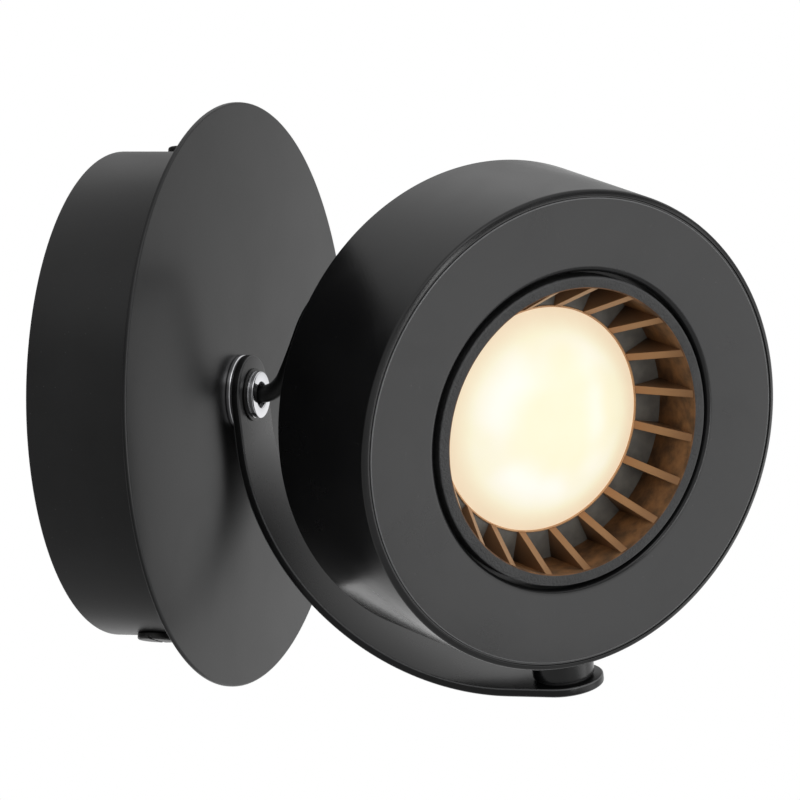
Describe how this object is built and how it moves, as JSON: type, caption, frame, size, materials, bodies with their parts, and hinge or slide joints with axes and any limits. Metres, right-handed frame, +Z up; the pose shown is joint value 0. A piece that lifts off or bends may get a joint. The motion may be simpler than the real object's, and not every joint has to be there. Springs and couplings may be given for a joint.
{
  "type": "wall light",
  "caption": "Adjustable wall spotlight: round canopy with a wide front disc, curved flat-bar arm and a deep round lamp head.",
  "frame": {"origin": "centre of the canopy in the plane of the wall", "axes": "+Z up, +Y into the wall, -Y out into the room, +X to the right for someone facing the wall"},
  "size_m": [0.2, 0.218, 0.2026],
  "materials": {
    "black_lacquer_steel": "matt black lacquer on steel",
    "black_lacquer_aluminium": "matt black lacquer on aluminium",
    "black_screw": "black oxide",
    "polished_chrome": "polished",
    "zinc_steel": "bright zinc plate",
    "lamp_casting": "dark grey die casting, copper-toned inside",
    "frosted_lens": "frosted diffuser",
    "black_cord": "smooth black sheath",
    "black_nylon": "moulded nylon",
    "white_nylon": "moulded nylon",
    "grey_plastic": "moulded case",
    "board_white": "white solder mask",
    "led_yellow": "phosphor",
    "tinned_brass": "tinned",
    "wire_insulation": "single-wire insulation"
  },
  "bodies": {
    "base": {"wall_bracket": "zinc_steel", "earth_screw": "zinc_steel", "canopy_drum": "black_lacquer_steel", "front_disc": "black_lacquer_steel", "side_thumbscrews": "black_screw", "terminal_block": "white_nylon", "terminal_screws": "zinc_steel", "driver_case": "grey_plastic", "driver_screws": "zinc_steel", "cord_grip": "black_nylon", "grip_screws": "zinc_steel", "threaded_nipple": "zinc_steel", "nipple_washer": "zinc_steel", "nipple_nut": "zinc_steel", "swivel_collar": "polished_chrome", "front_washer": "black_screw", "ring_nut": "polished_chrome", "canopy_lead": "black_cord"},
    "arm": {"arm_strip": "black_lacquer_steel", "pivot_washer": "black_nylon", "lamp_cord": "black_cord"},
    "head": {"pivot_spacer": "black_screw", "pivot_screw": "black_screw", "pivot_saddle": "zinc_steel", "pivot_nut": "zinc_steel", "head_housing": "black_lacquer_aluminium", "back_cover": "black_lacquer_aluminium", "cover_pillars": "zinc_steel", "cover_screws": "black_screw", "carrier_spacers": "zinc_steel", "lamp_carrier": "zinc_steel", "lamp_clips": "zinc_steel", "heat_sink": "lamp_casting", "led_board": "board_white", "led_chips": "led_yellow", "lens_dome": "frosted_lens", "rear_cap": "grey_plastic", "lamp_pins": "tinned_brass", "lamp_plugs": "white_nylon", "cord_bush": "black_nylon", "head_lead": "black_cord", "lamp_wires": "wire_insulation"}
  },
  "joints": [
    {"name": "arm_swivel", "type": "hinge", "parent": "base", "child": "arm", "pos_m": [0, -0.047, 0], "axis": [0, -1, 0], "range_deg": [-187.7, 152.3]},
    {"name": "head_swivel", "type": "hinge", "parent": "arm", "child": "head", "pos_m": [0, -0.1505, 0], "axis": [0.304, 0, -0.9527], "range_deg": [-107, 33], "deforming": ["lamp_cord"]}
  ]
}
